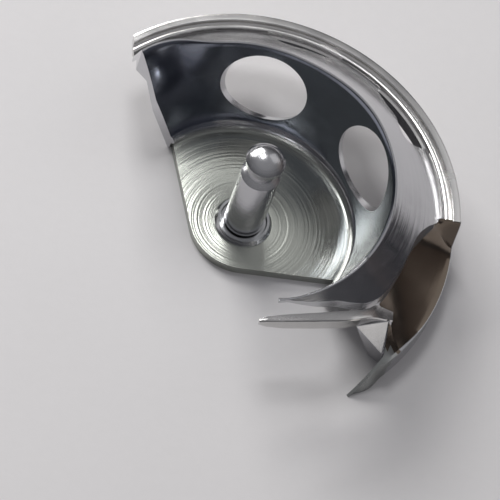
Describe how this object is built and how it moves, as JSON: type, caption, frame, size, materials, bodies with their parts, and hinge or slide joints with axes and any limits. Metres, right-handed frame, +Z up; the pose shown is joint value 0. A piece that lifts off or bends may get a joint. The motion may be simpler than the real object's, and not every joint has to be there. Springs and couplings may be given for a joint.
{
  "type": "oscillating shuttle hook",
  "caption": "Open steel basket with a round-headed centre stud, windows, a race rib and a curved heel with a pointed beak.",
  "frame": {"origin": "stud axis at the underside of the floor plate", "axes": "+Z up the stud out of the open top of the basket; the beak points along -X and the basket is open towards -X and -Y"},
  "size_m": [0.0336, 0.0387, 0.014],
  "materials": {
    "hook_body": "polished hardened steel",
    "floor_plate": "fine concentric turning marks",
    "race_ring": "ground and lapped",
    "center_stud": "ground, with a polished head",
    "stud_collar": "turned"
  },
  "bodies": {
    "root": {"hook_body": "hook_body", "floor_plate": "floor_plate", "race_ring": "race_ring", "center_stud": "center_stud", "stud_collar": "stud_collar"}
  },
  "joints": []
}
